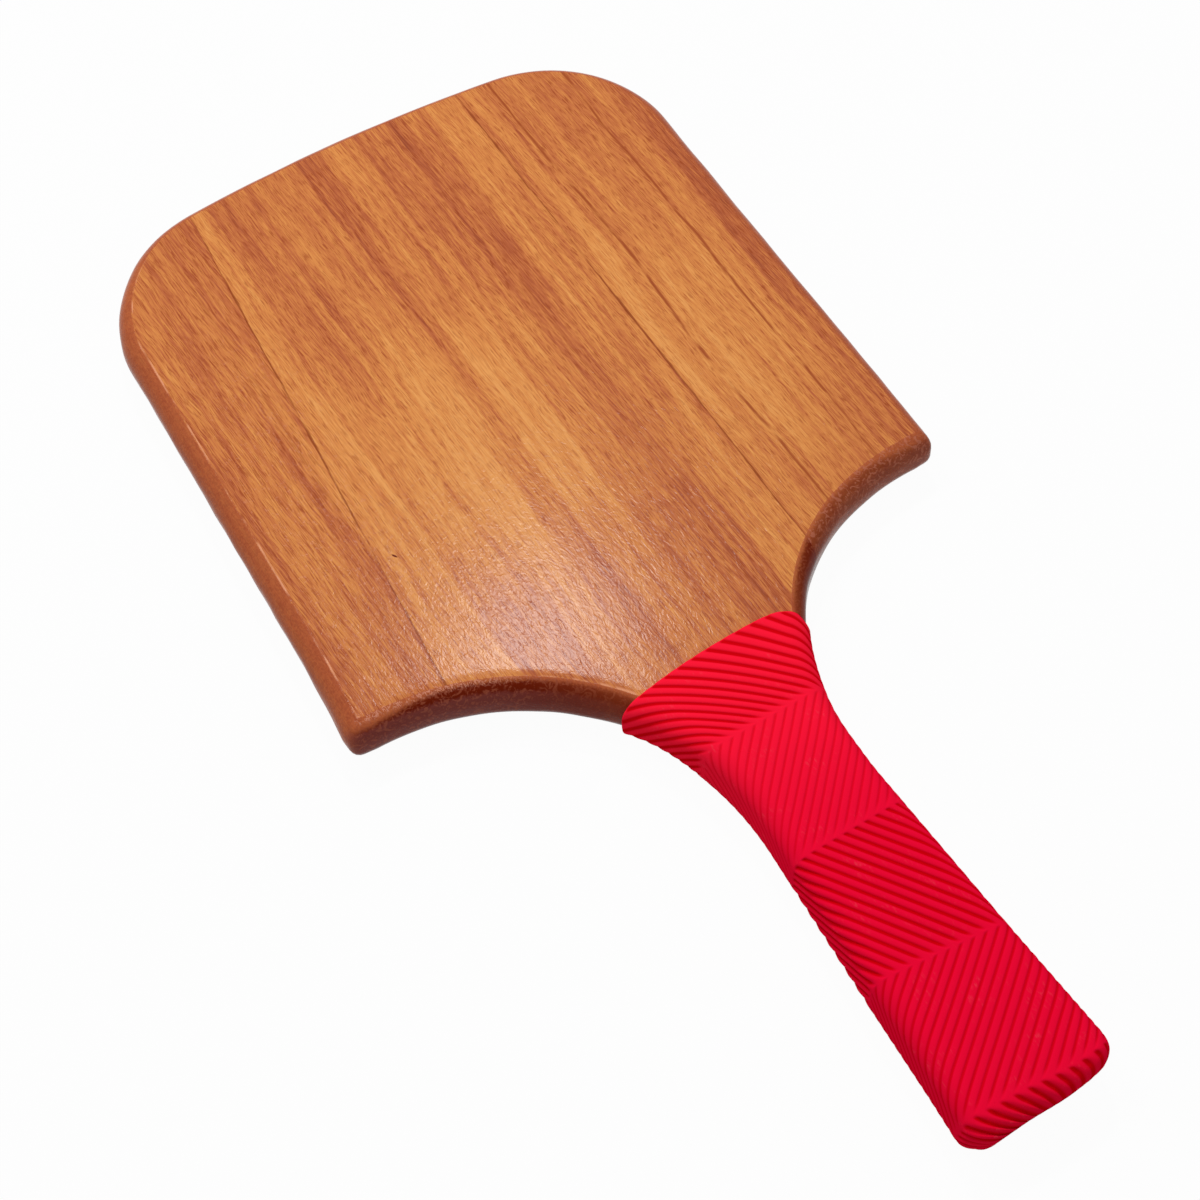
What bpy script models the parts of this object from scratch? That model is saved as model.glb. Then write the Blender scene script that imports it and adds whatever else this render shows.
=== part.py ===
"""Wooden tennis bat, modelled lying on its back.

Three boards are glued edge to edge and routed to one outline with rounded edges. The middle board runs
on past the blade as the tongue of the handle, and a ribbed rubber sleeve is pulled over that tongue.

Metres, +Z up. X runs across the blade and Y along the bat, with the blade at +Y and the butt at -Y. The
origin is the middle of the bat's box, at the height of the sleeve's underside.
"""
from math import acos, ceil, cos, hypot, pi, radians, sin, sqrt, tan

import bmesh
import bpy
from mathutils import Vector

# Overall sizes
OVERALL_LENGTH = 0.400
BLADE_WIDTH = 0.200
WOOD_THICKNESS = 0.015

# Outline of the wood
TOP_ARCH_RADIUS = 0.550
TOP_CORNER_RADIUS = 0.047
BLADE_LENGTH = 0.2105
FOOT_CORNER_RADIUS = 0.0075
SHOULDER_REACH = 0.0486
NECK_REACH = 0.0502
NECK_WIDTH = 0.0327
NECK_TO_BUTT = 0.102
BUTT_WIDTH = 0.0432
BUTT_CORNER_RADIUS = 0.006
EDGE_RADIUS = 0.0055

# The blade is cut by hand, so going up its sides lean to the right and draw together a little
BLADE_LEAN = 0.0208
LEAN_MIDDLE_ABOVE_FOOT = 0.1235
BLADE_TAPER = 0.066
TAPER_MIDDLE_ABOVE_FOOT = 0.0715
LEAN_BLEND = 0.060

# Glue lines between the boards: the left one leans, the right one is square
LEFT_SEAM_AT_TOP = -0.0543
LEFT_SEAM_AT_FOOT = -0.0707
RIGHT_SEAM = 0.0454
GLUE_LINE = 0.0003

# Rubber sleeve
SLEEVE_LENGTH = 0.1600
SLEEVE_WALL = 0.0022
SLEEVE_CLEARANCE = 0.0003
SLEEVE_EDGE_RADIUS = 0.0009
SLEEVE_EDGE_BOW = 0.0025
SLEEVE_BOW_BLEND = 0.025

# Butt of the sleeve: a rolled lip round a slot, with rounder corners seen from above
BUTT_LIP = 0.0035
SLEEVE_CORNER_RADIUS = 0.008
BUTT_ROLL_RADIUS = 0.0055
BUTT_INNER_RADIUS = 0.0045
BUTT_LEAN = 0.002
BUTT_LEAN_BLEND = 0.020
SLOT_HALF_HEIGHT = 0.002

# Ribs of the sleeve, which turn back on themselves at each seam
RIB_STARTS = 30
RIB_DEPTH = 0.0006
SEAMS_FROM_BUTT = (0.1335, 0.0915, 0.0485)
BAND_ANGLES = (41.0, 46.0, 55.0, 41.0)
BUTT_BAND_ANGLE = 55.0

# Fineness of the curved surfaces
ARCH_STEPS = 10
CORNER_STEPS = 12
SMALL_CORNER_STEPS = 5
SHOULDER_STEPS = 22
EDGE_STEPS = 5
ROLL_STEPS = 4
RIB_ROW_STEP = 0.0045

# Places worked out from the sizes above
HALF_LENGTH = OVERALL_LENGTH / 2
HALF_BLADE = BLADE_WIDTH / 2
SLEEVE_STANDOFF = SLEEVE_CLEARANCE + SLEEVE_WALL
WOOD_MIDDLE = WOOD_THICKNESS / 2 + SLEEVE_STANDOFF
WOOD_BUTT = -HALF_LENGTH + BUTT_LIP + SLEEVE_CLEARANCE
BLADE_FOOT = HALF_LENGTH - BLADE_LENGTH
NECK = -HALF_LENGTH + NECK_TO_BUTT
SLEEVE_TOP = -HALF_LENGTH + SLEEVE_LENGTH
COLUMNS = 2 * RIB_STARTS

# Points closer than this lie at the same place
SAME_PLACE = 0.00001

# Edges that turn by more degrees than this are shaded sharp
SHARP_TURN = 35.0


def clear_scene():
    for item in list(bpy.data.objects):
        bpy.data.objects.remove(item, do_unlink=True)


def material(name, colour, roughness):
    mat = bpy.data.materials.new(name)
    mat.use_nodes = True
    shader = mat.node_tree.nodes["Principled BSDF"]
    shader.inputs["Base Color"].default_value = (*colour, 1.0)
    shader.inputs["Roughness"].default_value = roughness
    shader.inputs["Metallic"].default_value = 0.0
    return mat


def arc(centre, radius, start, end, steps):
    """Points on a circle from one angle to another, in radians, both ends included."""
    angles = [start + (end - start) * i / steps for i in range(steps + 1)]
    return [Vector((centre[0] + radius * cos(a), centre[1] + radius * sin(a))) for a in angles]


def bezier(a, b, c, d, steps):
    """Points on a cubic Bezier curve, both ends included."""
    points = []
    for i in range(steps + 1):
        t = i / steps
        s = 1 - t
        points.append(a * s ** 3 + b * 3 * t * s ** 2 + c * 3 * t ** 2 * s + d * t ** 3)
    return points


def handle_taper():
    """Unit vector along the side of the handle, from the butt towards the neck."""
    step = Vector((NECK_WIDTH / 2 - BUTT_WIDTH / 2, NECK - WOOD_BUTT))
    return step.normalized()


def half_outline():
    """Right half of the wood's outline, from the middle of the top to the corner of the butt."""
    arch_centre = Vector((0.0, HALF_LENGTH - TOP_ARCH_RADIUS))
    reach = TOP_ARCH_RADIUS - TOP_CORNER_RADIUS
    corner_x = HALF_BLADE - TOP_CORNER_RADIUS
    joint = acos(corner_x / reach)
    corner_centre = arch_centre + Vector((corner_x, reach * sin(joint)))
    points = arc(arch_centre, TOP_ARCH_RADIUS, pi / 2, joint, ARCH_STEPS)
    points += arc(corner_centre, TOP_CORNER_RADIUS, joint, 0.0, CORNER_STEPS)[1:]

    foot_centre = Vector((HALF_BLADE - FOOT_CORNER_RADIUS, BLADE_FOOT + FOOT_CORNER_RADIUS))
    points += arc(foot_centre, FOOT_CORNER_RADIUS, 0.0, -pi / 2, SMALL_CORNER_STEPS)

    foot = points[-1]
    neck = Vector((NECK_WIDTH / 2, NECK))
    points += bezier(foot, foot - Vector((SHOULDER_REACH, 0.0)),
                     neck + handle_taper() * NECK_REACH, neck, SHOULDER_STEPS)[1:]

    butt_centre = Vector((BUTT_WIDTH / 2 - BUTT_CORNER_RADIUS, WOOD_BUTT + BUTT_CORNER_RADIUS))
    points += arc(butt_centre, BUTT_CORNER_RADIUS, 0.0, -pi / 2, SMALL_CORNER_STEPS)
    return points


OUTLINE = half_outline()


def hand_cut(x, y):
    """X of a point once the blade leans and tapers as it was cut; the handle stays straight."""
    share = min(1.0, max(0.0, 1.0 - (BLADE_FOOT - y) / LEAN_BLEND))
    share = share * share * (3 - 2 * share)
    taper = 1.0 + share * BLADE_TAPER * (BLADE_FOOT + TAPER_MIDDLE_ABOVE_FOOT - y)
    return x * taper + share * BLADE_LEAN * (y - BLADE_FOOT - LEAN_MIDDLE_ABOVE_FOOT)


def middle_of_blade():
    """X of the middle of the bat's box, before the bat is moved there."""
    rightmost = max(hand_cut(p.x, p.y) for p in OUTLINE)
    leftmost = min(hand_cut(-p.x, p.y) for p in OUTLINE)
    return (rightmost + leftmost) / 2


BOX_MIDDLE = middle_of_blade()


def on_bat(x, y, z):
    """Where a point drawn about the handle's middle line lies on the finished bat."""
    return Vector((hand_cut(x, y) - BOX_MIDDLE, y, z))


def wood_half_width(y):
    """Half the width of the handle or of the shoulders at a place along the bat."""
    butt_corner = WOOD_BUTT + BUTT_CORNER_RADIUS - SAME_PLACE
    side = [p for p in OUTLINE if butt_corner < p.y < BLADE_FOOT + SAME_PLACE]
    side.sort(key=lambda p: p.y)
    for low, high in zip(side, side[1:]):
        if y <= high.y:
            return low.x + (high.x - low.x) * (y - low.y) / (high.y - low.y)
    return side[-1].x


def spread(y):
    """How much wider a wall of even thickness measures along X where the wood's side slants."""
    step = 0.001
    slope = (wood_half_width(y + step) - wood_half_width(y - step)) / (2 * step)
    return hypot(1.0, slope)


def routed_blank():
    """The glued panel after routing: the outline at full thickness with both rims rounded."""
    points = [on_bat(p.x, p.y, 0.0) for p in OUTLINE]
    points += [on_bat(-p.x, p.y, 0.0) for p in reversed(OUTLINE[1:])]

    curve = bpy.data.curves.new("blank_outline", "CURVE")
    curve.dimensions = "2D"
    curve.fill_mode = "BOTH"
    curve.extrude = WOOD_THICKNESS / 2
    spline = curve.splines.new("POLY")
    spline.points.add(len(points) - 1)
    for slot, point in zip(spline.points, points):
        slot.co = (point.x, point.y, 0.0, 1.0)
    spline.use_cyclic_u = True
    outline = bpy.data.objects.new("blank_outline", curve)
    bpy.context.collection.objects.link(outline)
    evaluated = outline.evaluated_get(bpy.context.evaluated_depsgraph_get())
    mesh = bpy.data.meshes.new_from_object(evaluated)
    bpy.data.objects.remove(outline, do_unlink=True)

    blank = bmesh.new()
    blank.from_mesh(mesh)
    bpy.data.meshes.remove(mesh)
    bmesh.ops.remove_doubles(blank, verts=blank.verts, dist=SAME_PLACE)
    bmesh.ops.recalc_face_normals(blank, faces=blank.faces)
    for side in (1, -1):
        cap = [f for f in blank.faces if f.normal.z * side > 0.9]
        bmesh.ops.dissolve_faces(blank, faces=cap)
    rims = [e for e in blank.edges if abs(e.verts[0].co.z - e.verts[1].co.z) < SAME_PLACE]
    bmesh.ops.bevel(blank, geom=rims, offset=EDGE_RADIUS, affect="EDGES", segments=EDGE_STEPS,
                    profile=0.5, material=-1)
    bmesh.ops.translate(blank, verts=blank.verts, vec=(0.0, 0.0, WOOD_MIDDLE))
    return blank


def left_seam_plane(side):
    """Point and normal of the leaning glue line, moved half the glue line to one side of it."""
    top = Vector((LEFT_SEAM_AT_TOP, HALF_LENGTH, 0.0))
    foot = Vector((LEFT_SEAM_AT_FOOT, BLADE_FOOT, 0.0))
    along = (top - foot).normalized()
    normal = Vector((along.y, -along.x, 0.0))
    return top + normal * side * GLUE_LINE / 2, normal


def right_seam_plane(side):
    """Point and normal of the square glue line, moved half the glue line to one side of it."""
    normal = Vector((1.0, 0.0, 0.0))
    return Vector((RIGHT_SEAM, 0.0, 0.0)) + normal * side * GLUE_LINE / 2, normal


def saw(board, plane, keep):
    """Cuts a board at a plane, keeps the side that the sign names and closes the sawn face."""
    point, normal = plane
    geometry = board.verts[:] + board.edges[:] + board.faces[:]
    bmesh.ops.bisect_plane(board, geom=geometry, dist=SAME_PLACE / 10, plane_co=point, plane_no=normal * -keep,
                           clear_outer=True)
    sawn = [e for e in board.edges if e.is_boundary]
    bmesh.ops.edgeloop_fill(board, edges=sawn)


def finish_object(name, shape, mat, collection):
    bmesh.ops.recalc_face_normals(shape, faces=shape.faces)
    mesh = bpy.data.meshes.new(name)
    shape.to_mesh(mesh)
    shape.free()
    mesh.materials.append(mat)
    mesh.shade_smooth()
    mesh.set_sharp_from_angle(angle=radians(SHARP_TURN))
    part = bpy.data.objects.new(name, mesh)
    collection.objects.link(part)
    return part


def make_boards(collection):
    middle_wood = material("middle board wood", (0.58, 0.20, 0.07), 0.38)
    side_wood = material("side board wood", (0.50, 0.16, 0.06), 0.38)
    cuts = {
        "left_board": (side_wood, [(left_seam_plane(-1), -1)]),
        "centre_board": (middle_wood, [(left_seam_plane(1), 1), (right_seam_plane(-1), -1)]),
        "right_board": (side_wood, [(right_seam_plane(1), 1)]),
    }
    blank = routed_blank()
    for name, (wood, planes) in cuts.items():
        board = blank.copy()
        for plane, keep in planes:
            saw(board, plane, keep)
        finish_object(name, board, wood, collection)
    blank.free()


def box_pieces(half_width, half_height, corner):
    """Lengths of the flats and turns of a rounded rectangle, from the middle of its top side round."""
    flat = half_width - corner
    wall = 2 * (half_height - corner)
    turn = corner * pi / 2
    return (flat, turn, wall, turn, 2 * flat, turn, wall, turn, flat)


def like_share(share, model, box):
    """Share of the way round a box that lies where the given share lies on a model box."""
    left = (share % 1.0) * sum(box_pieces(*model))
    done = 0.0
    for model_piece, piece in zip(box_pieces(*model), box_pieces(*box)):
        if left <= model_piece:
            return (done + piece * left / model_piece) / sum(box_pieces(*box))
        left -= model_piece
        done += piece
    return 1.0


def on_rounded_box(share, half_width, half_height, corner):
    """Point and outward normal on a rounded rectangle, by the share of its length gone round.

    The way round starts at the middle of the top side and goes towards +X.
    """
    pieces = box_pieces(half_width, half_height, corner)
    left = (share % 1.0) * sum(pieces)
    for index, piece in enumerate(pieces):
        if left <= piece:
            break
        left -= piece
    quarter = index // 2
    start = quarter * pi / 2
    if index % 2:
        angle = start + left / corner
        centre_x = (half_width - corner) * (1 if quarter in (0, 1) else -1)
        centre_y = (half_height - corner) * (1 if quarter in (0, 3) else -1)
        normal = Vector((sin(angle), cos(angle)))
        return Vector((centre_x, centre_y)) + normal * corner, normal
    normal = Vector((round(sin(start)), round(cos(start))))
    along = Vector((normal.y, -normal.x))
    before_middle = piece / 2 if index in (2, 4, 6) else (0.0 if index == 0 else piece)
    middle = Vector((normal.x * half_width, normal.y * half_height))
    return middle + along * (left - before_middle), normal


def rounding(y, radius):
    """How far a corner of that radius at the end of the butt draws in at a place along the bat."""
    left = max(0.0, radius - (y + HALF_LENGTH))
    return radius - sqrt(radius ** 2 - min(left, radius) ** 2)


def outer_section(y, inset):
    """Half width, half height and corner radius of the sleeve's outside, drawn in by an inset."""
    half_width = wood_half_width(y) + SLEEVE_STANDOFF * spread(y) - inset
    half_width -= rounding(y, SLEEVE_CORNER_RADIUS) - rounding(y, BUTT_ROLL_RADIUS)
    half_height = WOOD_THICKNESS / 2 + SLEEVE_STANDOFF - inset
    corner = min(max(EDGE_RADIUS + SLEEVE_STANDOFF - inset, SLOT_HALF_HEIGHT), half_height)
    return half_width, half_height, corner


def bore_section(y, inset):
    """Half width, half height and corner radius of the sleeve's bore, drawn in by an inset."""
    half_width = wood_half_width(y) + SLEEVE_CLEARANCE * spread(y) - inset
    half_height = WOOD_THICKNESS / 2 + SLEEVE_CLEARANCE - inset
    corner = min(max(EDGE_RADIUS + SLEEVE_CLEARANCE - inset, SLOT_HALF_HEIGHT), half_height)
    return half_width, half_height, corner


def bow(y, share):
    """How far the sleeve's top edge drops towards its sides; share is X over the half width."""
    fade = max(0.0, 1.0 - (SLEEVE_TOP - y) / SLEEVE_BOW_BLEND)
    return SLEEVE_EDGE_BOW * fade * share ** 2


def lean(y, z):
    """How far the butt draws back towards its underside; z is measured from the wood's middle."""
    fade = min(1.0, max(0.0, 1.0 - (y + HALF_LENGTH) / BUTT_LEAN_BLEND))
    end_flat = WOOD_THICKNESS / 2 + SLEEVE_STANDOFF - BUTT_ROLL_RADIUS
    return BUTT_LEAN * fade * max(0.0, (end_flat - z) / (2 * end_flat))


def outer_ring(y, inset, turned, groove):
    """One closed row of points round the sleeve's outside, every second one sunk into a groove."""
    points = []
    for column in range(COLUMNS):
        share = column / COLUMNS + turned
        box = outer_section(y, inset)
        place, normal = on_rounded_box(share, *box)
        y_here = y - bow(y, place.x / box[0])
        place, normal = on_rounded_box(share, *outer_section(y_here, inset))
        if column % 2:
            place = place - normal * groove
        y_here += lean(y_here, place.y)
        points.append(on_bat(place.x, y_here, WOOD_MIDDLE + place.y))
    return points


def bore_ring(y, inset, turned, model):
    """One closed row of points round the bore, each on the same flat or corner as on the model box."""
    points = []
    for column in range(COLUMNS):
        share = column / COLUMNS + turned
        box = bore_section(y, inset)
        place, normal = on_rounded_box(like_share(share, model, box), *box)
        y_here = y - bow(y, place.x / box[0])
        box = bore_section(y_here, inset)
        place, normal = on_rounded_box(like_share(share, model, box), *box)
        points.append(on_bat(place.x, y_here, WOOD_MIDDLE + place.y))
    return points


def ribbed_rows():
    """Rows of the sleeve's outside from its top edge to the slot, and how far they have turned."""
    turned = 0.0
    rows = []
    start = SLEEVE_TOP - SLEEVE_EDGE_RADIUS
    for i in range(ROLL_STEPS - 1):
        angle = pi / 2 * i / (ROLL_STEPS - 1)
        y = start + SLEEVE_EDGE_RADIUS * cos(angle)
        inset = SLEEVE_EDGE_RADIUS * (1 - sin(angle))
        rows.append(outer_ring(y, inset, turned, 0.0))

    roll_start = -HALF_LENGTH + BUTT_ROLL_RADIUS
    stops = [start] + [from_butt - HALF_LENGTH for from_butt in SEAMS_FROM_BUTT] + [roll_start]
    hand = 1
    for high, low, angle in zip(stops, stops[1:], BAND_ANGLES):
        steps = ceil((high - low) / RIB_ROW_STEP)
        step = (high - low) / steps
        for i in range(steps):
            y = high - i * step
            rows.append(outer_ring(y, 0.0, turned, RIB_DEPTH))
            round_length = sum(box_pieces(*outer_section(y - step / 2, 0.0)))
            turned += hand * step / tan(radians(angle)) / round_length
        hand = -hand

    slot_inset = WOOD_THICKNESS / 2 + SLEEVE_STANDOFF - SLOT_HALF_HEIGHT
    end_length = sum(box_pieces(*outer_section(roll_start, 0.0)))
    quarter = BUTT_ROLL_RADIUS * pi / 2 / ROLL_STEPS
    for i in range(ROLL_STEPS + 1):
        angle = pi / 2 * i / ROLL_STEPS
        y = roll_start - BUTT_ROLL_RADIUS * sin(angle)
        inset = BUTT_ROLL_RADIUS * (1 - cos(angle))
        rows.append(outer_ring(y, inset, turned, RIB_DEPTH))
        turned += hand * quarter / tan(radians(BUTT_BAND_ANGLE)) / end_length
    rows.append(outer_ring(-HALF_LENGTH, slot_inset, turned, 0.0))
    return rows, turned, slot_inset


def bore_rows(turned, slot_inset):
    """Rows of the sleeve's inside, from the slot back to the top edge."""
    bore_end = -HALF_LENGTH + BUTT_LIP
    model = bore_section(bore_end, 0.0)
    slot = outer_section(-HALF_LENGTH, slot_inset)
    corners = [on_rounded_box(column / COLUMNS + turned, *slot)[0] for column in range(COLUMNS)]
    rows = [[on_bat(place.x, bore_end, WOOD_MIDDLE + place.y) for place in corners]]
    for i in range(ROLL_STEPS, -1, -1):
        angle = pi / 2 * i / ROLL_STEPS
        y = bore_end + BUTT_INNER_RADIUS * (1 - sin(angle))
        inset = BUTT_INNER_RADIUS * (1 - cos(angle))
        rows.append(bore_ring(y, inset, turned, model))
    places = sorted(p.y for p in OUTLINE if NECK - SAME_PLACE < p.y < SLEEVE_TOP - SAME_PLACE)
    for y in places + [SLEEVE_TOP]:
        rows.append(bore_ring(y, 0.0, turned, model))
    return rows


def make_sleeve(collection):
    rubber = material("red rubber", (0.83, 0.006, 0.025), 0.55)
    outside, turned, slot_inset = ribbed_rows()
    rows = outside + bore_rows(turned, slot_inset)
    shape = bmesh.new()
    grid = [[shape.verts.new(point) for point in row] for row in rows]
    skip = round(turned * COLUMNS)
    for index, row in enumerate(grid):
        last = index == len(grid) - 1
        following = grid[0] if last else grid[index + 1]
        offset = skip if last else 0
        for column in range(COLUMNS):
            after = (column + 1) % COLUMNS
            shape.faces.new((row[column], row[after], following[(after + offset) % COLUMNS],
                             following[(column + offset) % COLUMNS]))
    bmesh.ops.triangulate(shape, faces=shape.faces)
    finish_object("grip_sleeve", shape, rubber, collection)


def main():
    clear_scene()
    collection = bpy.data.collections.new("wooden tennis bat")
    bpy.context.scene.collection.children.link(collection)
    make_boards(collection)
    make_sleeve(collection)


main()
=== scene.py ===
"""Looks of the wooden tennis bat: three glued boards and a ribbed rubber grip sleeve.

Metres, +Z up. X runs across the blade and Y along the bat, with the blade at +Y and the butt at -Y.
"""
from math import acos, copysign, cos, hypot, pi, radians, sin, sqrt, tan

import bmesh
import bpy
from mathutils import Matrix, Vector, noise
from mathutils.geometry import interpolate_bezier


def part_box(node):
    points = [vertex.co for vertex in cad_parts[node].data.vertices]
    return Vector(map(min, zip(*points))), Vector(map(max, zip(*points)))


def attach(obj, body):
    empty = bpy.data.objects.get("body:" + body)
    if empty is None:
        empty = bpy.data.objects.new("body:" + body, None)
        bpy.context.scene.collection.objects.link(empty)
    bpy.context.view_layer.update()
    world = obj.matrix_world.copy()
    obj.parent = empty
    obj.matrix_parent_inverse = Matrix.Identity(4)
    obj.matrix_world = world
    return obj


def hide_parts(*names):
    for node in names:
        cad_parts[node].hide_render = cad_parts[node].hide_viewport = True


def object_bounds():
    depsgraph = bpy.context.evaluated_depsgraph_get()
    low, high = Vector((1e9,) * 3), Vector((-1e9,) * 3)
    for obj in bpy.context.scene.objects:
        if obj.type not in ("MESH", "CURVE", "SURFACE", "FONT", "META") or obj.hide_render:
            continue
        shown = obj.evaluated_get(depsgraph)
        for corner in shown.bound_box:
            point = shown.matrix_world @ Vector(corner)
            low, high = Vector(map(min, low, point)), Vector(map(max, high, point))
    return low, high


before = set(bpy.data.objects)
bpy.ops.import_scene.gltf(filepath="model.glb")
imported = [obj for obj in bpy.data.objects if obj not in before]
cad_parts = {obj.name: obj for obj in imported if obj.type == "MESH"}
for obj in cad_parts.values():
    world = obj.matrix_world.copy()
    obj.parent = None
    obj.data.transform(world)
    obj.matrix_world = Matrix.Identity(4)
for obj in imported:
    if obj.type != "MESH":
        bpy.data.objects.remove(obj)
CAD_LOW, CAD_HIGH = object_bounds()
WOOD_LOW, WOOD_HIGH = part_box("centre_board")
SLEEVE_LOW, SLEEVE_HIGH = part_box("grip_sleeve")

# Sizes read from the frame
HALF_LENGTH = CAD_HIGH.y
WOOD_THICKNESS = WOOD_HIGH.z - WOOD_LOW.z
WOOD_MIDDLE = (WOOD_HIGH.z + WOOD_LOW.z) / 2
WOOD_BUTT = WOOD_LOW.y
SLEEVE_TOP = SLEEVE_HIGH.y
SLEEVE_STANDOFF = WOOD_LOW.z - SLEEVE_LOW.z
SLEEVE_HALF_HEIGHT = WOOD_THICKNESS / 2 + SLEEVE_STANDOFF

# Outline of the wood
BLADE_WIDTH = 0.200
TOP_ARCH_RADIUS = 0.550
TOP_CORNER_RADIUS = 0.047
BLADE_FOOT = -0.0105
FOOT_CORNER_RADIUS = 0.0070
SHOULDER_REACH = 0.0476
NECK_REACH = 0.0502
NECK = -0.098
NECK_WIDTH = 0.0327
BUTT_WIDTH = 0.0432
BUTT_CORNER_RADIUS = 0.006
EDGE_RADIUS = 0.0055

# The blade is cut by hand, so going up its sides lean to the right and draw together a little
BLADE_LEAN = 0.0208
LEAN_MIDDLE = 0.113
BLADE_TAPER = 0.066
TAPER_MIDDLE = 0.061
LEAN_BLEND = 0.060
BOX_MIDDLE = -0.001325

# Glue lines between the boards
LEFT_SEAM_AT_TOP = -0.0543
LEFT_SEAM_AT_FOOT = -0.0707
RIGHT_SEAM = 0.0454
JOINT_GAP = 0.00001

# The rounded edges are a little uneven from sanding. Along the sides and the top they start with a fine
# arris, and the router bites deeper on the left. Along the foot the face rolls over without an arris, the
# corners are drawn out to a point, and the left one swings out.
EDGE_SEGMENTS = 9
LONGEST_EDGE = 0.004
SHALLOW_BITE = 0.0042
SHALLOW_START = radians(20.0)
DEEP_BITE = 0.0056
DEEP_START = radians(14.0)
FOOT_START = radians(6.0)
FOOT_BORDER = 0.0030
FOOT_BORDER_BLEND = 0.008
FOOT_POINT = 0.0012
FOOT_SWING = 0.0014
SWING_REACH = 0.045
SWING_START = 0.078
SWING_BLEND = 0.015
ARRIS_BORDER = 0.0003
SANDING_DEPTH = 0.00022
SANDING_WAVE = 0.011

# How squarely an edge faces down the bat where it starts to count as the foot's, and where it counts in full
FOOT_BEGINS = 1 / 6
FOOT_IN_FULL = 5 / 6

# Grip sleeve, whose rubber is stretched thin over the shoulders
SLEEVE_CLEARANCE = 0.0003
LIP_RADIUS = 0.0009
THINNING = 0.0011
THIN_BELOW = 0.056
THIN_ABOVE = 0.080
THIN_SHIFT = 0.010
THINNEST = 0.0004

# Its top edge rises in the middle, climbs to the right and drops again at the right end
TOP_RISE = 0.0024
TOP_TILT = 0.070
TOP_BOW = 0.0016
RIGHT_DROP = 0.0022
TOP_HALF_WIDTH = 0.028
TOP_BLEND = 0.025

# Along the handle its edges are firmer, its sides are worn and it sits a little to the left
FIRM_EDGE = 0.0024
SIDE_WEAR = 0.00065
SLEEVE_SHIFT = 0.0004
SHIFT_END = 0.180
SHIFT_BLEND = 0.030

# At the butt it rolls in to a slot, leans, is a little skew and bulges
SLEEVE_CORNER_RADIUS = 0.0068
BUTT_ROLL_RADIUS = 0.0055
BUTT_INNER_RADIUS = 0.0045
BUTT_LIP = 0.0035
SLOT_HALF_HEIGHT = 0.0017
BUTT_LEAN = 0.002
BUTT_LEAN_BLEND = 0.020
BUTT_SKEW = 0.055
LEFT_REACH = 0.0009
RIGHT_FALL = 0.0016
BUTT_BULGE = 0.0007
BULGE_MIDDLE = 0.010
BULGE_REACH = 0.016

# Ribs, in four bands from the top edge down: where the seams between the bands lie and how they tilt, then
# for each band the degrees between its ribs and a line straight across the bat, its depth and its softness
RIBS = 30
SEAMS_FROM_BUTT = (0.1335, 0.0915, 0.0485)
SEAM_TILTS = (0.03, 0.02, -0.09, -0.09)
BAND_ANGLES = (41.0, 46.0, 55.0, 41.0)
BAND_DEPTHS = (0.00050, 0.00026, 0.00062, 0.00034)
BAND_SOFTNESS = (0.50, 0.10, 0.45, 0.15)
LEFT_DEPTHS = (0.45, 0.60, 1.30, 0.80)
RIGHT_DEPTH = 0.40
SIDE_SOFTNESS = 0.75
BUTT_ANGLE = 55.0
BUTT_DEPTH = 0.00120
BUTT_SOFTNESS = 0.70
UNEVENNESS = 0.30
UNEVEN_WAVE = 0.012
RIB_APART = 7.3

# How closely the rubber's rows of points lie
ROW_STEP = 0.0008
CORNER_STEPS = 4
BUTT_STEPS = 14
BORE_STEPS = 24

# Rows close to a seam: how far above or below it, and the share of the grooves' depth there
ABOVE_SEAM = ((0.0032, 1.00), (0.0024, 0.88), (0.0017, 0.66), (0.0011, 0.44), (0.0006, 0.26), (0.00025, 0.16))
BELOW_SEAM = ((0.0, 0.10), (0.00022, 0.45), (0.00045, 0.80), (0.0008, 1.00))

# One rib from groove to groove: share of the way across, share of the groove's depth
RIB_PROFILE = ((0.00, 1.00), (0.08, 0.93), (0.14, 0.60), (0.20, 0.20), (0.27, 0.05), (0.38, 0.00),
               (0.50, -0.03), (0.62, 0.00), (0.73, 0.05), (0.80, 0.20), (0.86, 0.60), (0.92, 0.93))

SAME_PLACE = 0.00001


def share_between(value, start, end):
    """How far a value has come from the start, 0, to the end, 1; beyond them it stays 0 or 1."""
    return min(1.0, max(0.0, (value - start) / (end - start)))


def eased_between(value, start, end):
    """The same, coming away from the start and up to the end smoothly."""
    share = share_between(value, start, end)
    return share * share * (3 - 2 * share)


def hand_cut(x, y):
    """X of a point once the blade leans and tapers as it was cut; the handle stays straight."""
    share = eased_between(y, BLADE_FOOT - LEAN_BLEND, BLADE_FOOT)
    taper = 1.0 + share * BLADE_TAPER * (TAPER_MIDDLE - y)
    return x * taper + share * BLADE_LEAN * (y - LEAN_MIDDLE)


def on_bat(x, y, z):
    """Where a point drawn about the handle's middle line lies on the finished bat."""
    return Vector((hand_cut(x, y) - BOX_MIDDLE, y, z))


# Boards

def handle_taper():
    """Unit vector along the side of the handle, from the butt towards the neck."""
    step = Vector((NECK_WIDTH / 2 - BUTT_WIDTH / 2, NECK - WOOD_BUTT, 0.0))
    return step.normalized()


def shoulder_line():
    """Right side of the wood, from the foot's corner over the shoulder to the neck."""
    foot = Vector((BLADE_WIDTH / 2 - FOOT_CORNER_RADIUS, BLADE_FOOT, 0.0))
    neck = Vector((NECK_WIDTH / 2, NECK, 0.0))
    return interpolate_bezier(foot, foot - Vector((SHOULDER_REACH, 0.0, 0.0)),
                              neck + handle_taper() * NECK_REACH, neck, 64)


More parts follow.
